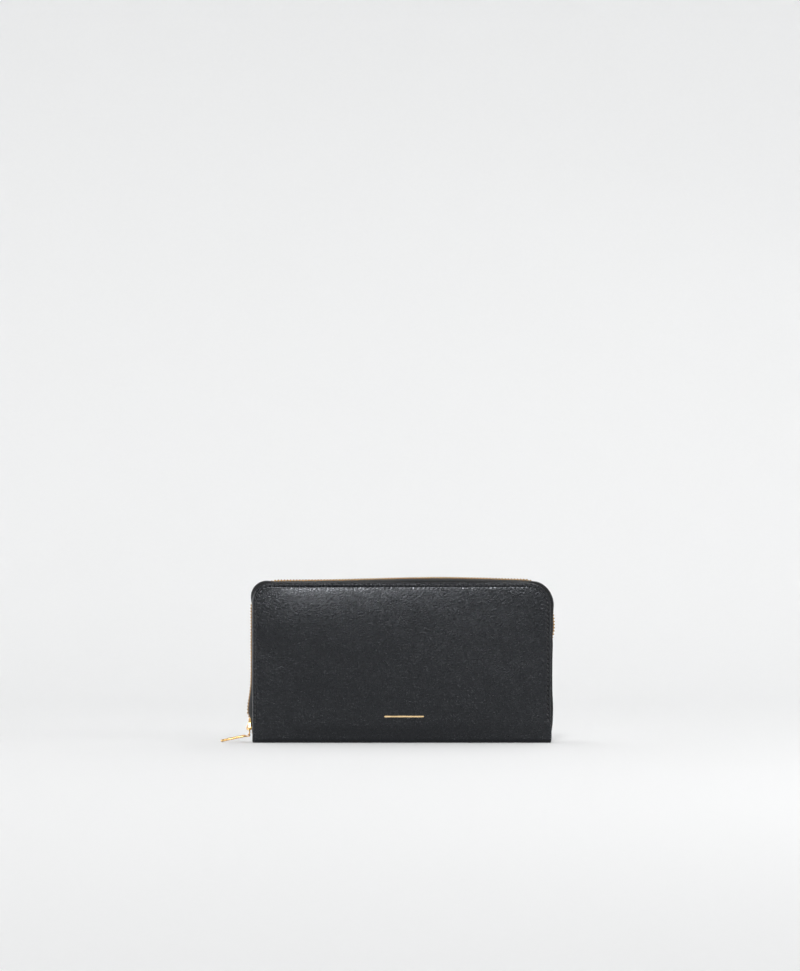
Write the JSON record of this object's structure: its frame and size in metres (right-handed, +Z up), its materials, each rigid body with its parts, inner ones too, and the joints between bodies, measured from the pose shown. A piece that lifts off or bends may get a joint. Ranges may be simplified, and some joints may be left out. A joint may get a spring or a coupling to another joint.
{
  "type": "zip around wallet",
  "caption": "Long continental wallet with two padded covers on a flat spine, a zip round three edges, card pockets, pleated gussets and a zipped coin pocket.",
  "frame": {"origin": "centre of the underside of the spine, which is the face the wallet stands on", "axes": "+X to the right along the covers as seen from the front, -Y out of the front cover, +Z up; the zip closes at the foot of the -X side"},
  "size_m": [0.2124, 0.0254, 0.1046],
  "materials": {
    "outer_leather": "black pebble-grained leather, satin, with tonal stitching",
    "inner_leather": "smooth black lining leather",
    "board": "grey fibre board",
    "padding": "thin foam",
    "pleat_fabric": "black ribbed grosgrain",
    "zip_tape": "woven black zip tape",
    "zip_metal": "polished light gold",
    "pull_metal": "polished light gold"
  },
  "bodies": {
    "core": {"spine_leather": "outer_leather", "spine_stiffener": "board", "spine_lining": "inner_leather", "coin_pocket_front": "inner_leather", "coin_pocket_back": "inner_leather", "coin_pocket_bottom": "pleat_fabric", "coin_pocket_side_left": "pleat_fabric", "coin_pocket_side_right": "pleat_fabric", "coin_zip_tape_front": "zip_tape", "coin_zip_tape_back": "zip_tape", "coin_zip_teeth_front": "zip_metal", "coin_zip_teeth_back": "zip_metal", "coin_zip_stops": "zip_metal", "gusset_front_left": "pleat_fabric", "gusset_front_right": "pleat_fabric", "gusset_back_left": "pleat_fabric", "gusset_back_right": "pleat_fabric"},
    "front_half": {"front_cover": "outer_leather", "front_board": "board", "front_padding": "padding", "front_lining": "inner_leather", "front_card_panel": "inner_leather", "front_card_pocket_1": "inner_leather", "front_card_pocket_2": "inner_leather", "front_card_pocket_3": "inner_leather", "front_card_pocket_4": "inner_leather", "front_zip_tape": "zip_tape", "front_zip_teeth": "zip_metal"},
    "back_half": {"back_cover": "outer_leather", "back_board": "board", "back_padding": "padding", "back_lining": "inner_leather", "back_card_panel": "inner_leather", "back_card_pocket_1": "inner_leather", "back_card_pocket_2": "inner_leather", "back_card_pocket_3": "inner_leather", "back_card_pocket_4": "inner_leather", "back_zip_tape": "zip_tape", "back_zip_teeth": "zip_metal", "zip_start_stop": "zip_metal", "zip_end_stop": "zip_metal"},
    "zip_slider": {"zip_slider_body": "pull_metal", "zip_slider_crown": "pull_metal"},
    "zip_link": {"pull_link": "pull_metal"},
    "zip_pull": {"pull_tab": "pull_metal"},
    "coin_slider": {"coin_slider_body": "pull_metal", "coin_slider_crown": "pull_metal"},
    "coin_pull": {"coin_pull_tab": "pull_metal"}
  },
  "joints": [
    {"name": "front_opens", "type": "hinge", "parent": "core", "child": "front_half", "pos_m": [0, -0.0121, 0.0006], "axis": [1, 0, 0], "range_deg": [0, 28], "deforming": ["gusset_front_left", "gusset_front_right"]},
    {"name": "back_opens", "type": "hinge", "parent": "core", "child": "back_half", "pos_m": [0, 0.0121, 0.0006], "axis": [-1, 0, 0], "range_deg": [0, 28], "deforming": ["gusset_back_left", "gusset_back_right"]},
    {"name": "zip_runs", "type": "slide", "parent": "back_half", "child": "zip_slider", "axis": [0, 0, 1], "range_m": [0, 0.072], "deforming": ["front_zip_teeth", "back_zip_teeth"]},
    {"name": "link_swings", "type": "hinge", "parent": "zip_slider", "child": "zip_link", "pos_m": [-0.09805, 0, 0.0091], "axis": [0, 1, 0], "range_deg": [0, 96]},
    {"name": "pull_swings", "type": "hinge", "parent": "zip_link", "child": "zip_pull", "pos_m": [-0.09741, 0, 0.00455], "axis": [0, -1, 0], "range_deg": [0, 75]},
    {"name": "coin_zip_runs", "type": "slide", "parent": "core", "child": "coin_slider", "axis": [-1, 0, 0], "range_m": [0, 0.14], "deforming": ["coin_zip_teeth_front", "coin_zip_teeth_back"]},
    {"name": "coin_pull_swings", "type": "hinge", "parent": "coin_slider", "child": "coin_pull", "pos_m": [0.07187, 0, 0.08091], "axis": [0, 1, 0], "range_deg": [0, 180]}
  ]
}
